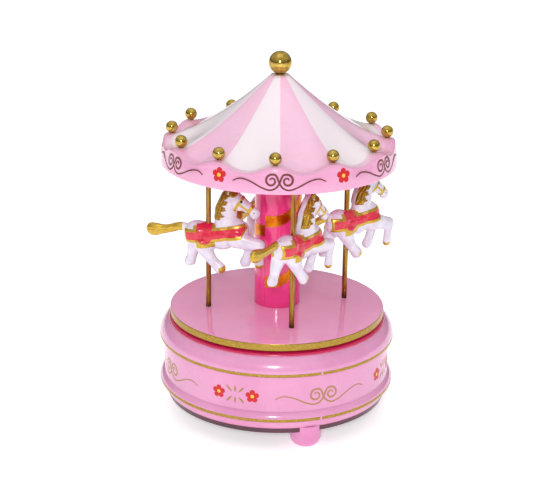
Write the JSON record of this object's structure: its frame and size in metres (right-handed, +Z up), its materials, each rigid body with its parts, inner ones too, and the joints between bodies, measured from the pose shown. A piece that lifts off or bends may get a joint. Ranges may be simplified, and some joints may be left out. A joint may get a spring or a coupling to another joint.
{
  "type": "wind up music box",
  "caption": "Carousel music box: horses on poles turn on a round base that holds a wound movement, under a tent canopy.",
  "frame": {"origin": "on the resting plane, under the carousel's turning axis", "axes": "+Z up along the turning axis, -Y towards the front, +X to the right seen from the front"},
  "size_m": [0.1156, 0.111, 0.1717],
  "materials": {
    "pink_shell": "glossy moulded plastic",
    "pink_platform": "glossy moulded plastic",
    "hot_pink": "glossy moulded plastic",
    "plum_cover": "moulded plastic",
    "canopy_pink": "glossy moulded plastic with alternate white panels",
    "gold_plate": "bright gold plating",
    "pole_brass": "drawn brass tube",
    "horse_paint": "painted plastic",
    "movement_brass": "machined brass",
    "movement_steel": "bright steel",
    "spring_steel": "blued spring steel",
    "cast_bed": "die-cast metal"
  },
  "bodies": {
    "base": {"base_shell": "pink_shell", "bottom_cover": "plum_cover", "foot_1": "pink_shell", "foot_2": "pink_shell", "foot_3": "pink_shell", "foot_screws": "movement_steel", "bedplate": "cast_bed", "movement_screws": "movement_steel", "barrel_bridge": "cast_bed", "bridge_screws": "movement_steel", "comb": "movement_steel", "comb_screws": "movement_steel", "drum_bracket": "cast_bed", "governor_frame": "movement_brass", "governor_screws": "movement_steel", "click_spring": "spring_steel"},
    "carousel": {"spring_barrel": "movement_brass", "barrel_lid": "movement_brass", "mainspring": "spring_steel", "drive_post": "movement_steel", "platform": "pink_platform", "platform_nut": "movement_steel", "column_front": "hot_pink", "column_back": "hot_pink", "tie_rod": "movement_steel", "canopy_ceiling": "hot_pink", "canopy_roof": "canopy_pink", "roof_nut": "movement_steel", "finial_ball": "gold_plate", "rim_ball_01": "gold_plate", "rim_ball_02": "gold_plate", "rim_ball_03": "gold_plate", "rim_ball_04": "gold_plate", "rim_ball_05": "gold_plate", "rim_ball_06": "gold_plate", "rim_ball_07": "gold_plate", "rim_ball_08": "gold_plate", "rim_ball_09": "gold_plate", "rim_ball_10": "gold_plate", "rim_ball_11": "gold_plate", "rim_ball_12": "gold_plate"},
    "key": {"winding_key": "movement_brass", "winding_arbor": "movement_steel", "ratchet_wheel": "movement_brass"},
    "cylinder": {"pinned_cylinder": "movement_brass", "cylinder_gear": "movement_brass", "cylinder_pinion": "movement_brass", "cylinder_arbor": "movement_steel"},
    "governor": {"governor_wheel": "movement_brass", "governor_pinion": "movement_steel"},
    "spindle": {"worm_spindle": "movement_steel", "fan": "movement_brass"},
    "horse_unit_1": {"pole_1": "pole_brass", "horse_1": "horse_paint"},
    "horse_unit_2": {"pole_2": "pole_brass", "horse_2": "horse_paint"},
    "horse_unit_3": {"pole_3": "pole_brass", "horse_3": "horse_paint"},
    "horse_unit_4": {"pole_4": "pole_brass", "horse_4": "horse_paint"}
  },
  "joints": [
    {"name": "carousel_turn", "type": "hinge", "parent": "base", "child": "carousel", "pos_m": [0, 0, 0.0475], "axis": [0, 0, 1], "continuous": true},
    {"name": "key_wind", "type": "hinge", "parent": "base", "child": "key", "pos_m": [0, 0, 0.0046], "axis": [0, 0, 1], "continuous": true},
    {"name": "cylinder_turn", "type": "hinge", "parent": "base", "child": "cylinder", "pos_m": [0.0268, 0, 0.024], "axis": [1, 0, 0], "continuous": true},
    {"name": "governor_turn", "type": "hinge", "parent": "base", "child": "governor", "pos_m": [0.0392, 0.01005, 0.024], "axis": [1, 0, 0], "continuous": true},
    {"name": "fan_spin", "type": "hinge", "parent": "base", "child": "spindle", "pos_m": [0.0392, 0.01615, 0.024], "axis": [0, 0, 1], "continuous": true},
    {"name": "horse_1_swivel", "type": "hinge", "parent": "carousel", "child": "horse_unit_1", "pos_m": [0.00678, -0.03189, 0.0511], "axis": [0, 0, 1], "range_deg": [-20, 0]},
    {"name": "horse_2_swivel", "type": "hinge", "parent": "carousel", "child": "horse_unit_2", "pos_m": [0.03189, 0.00678, 0.0511], "axis": [0, 0, 1], "range_deg": [0, 4]},
    {"name": "horse_3_swivel", "type": "hinge", "parent": "carousel", "child": "horse_unit_3", "pos_m": [-0.00678, 0.03189, 0.0511], "axis": [0, 0, 1], "range_deg": [-20, 8]},
    {"name": "horse_4_swivel", "type": "hinge", "parent": "carousel", "child": "horse_unit_4", "pos_m": [-0.03189, -0.00678, 0.0511], "axis": [0, 0, 1], "range_deg": [-20, 1]}
  ],
  "couplings": [
    {"joint": "cylinder_turn", "follows": "carousel_turn", "ratio": 3},
    {"joint": "governor_turn", "follows": "carousel_turn", "ratio": -9},
    {"joint": "fan_spin", "follows": "carousel_turn", "ratio": 180}
  ]
}
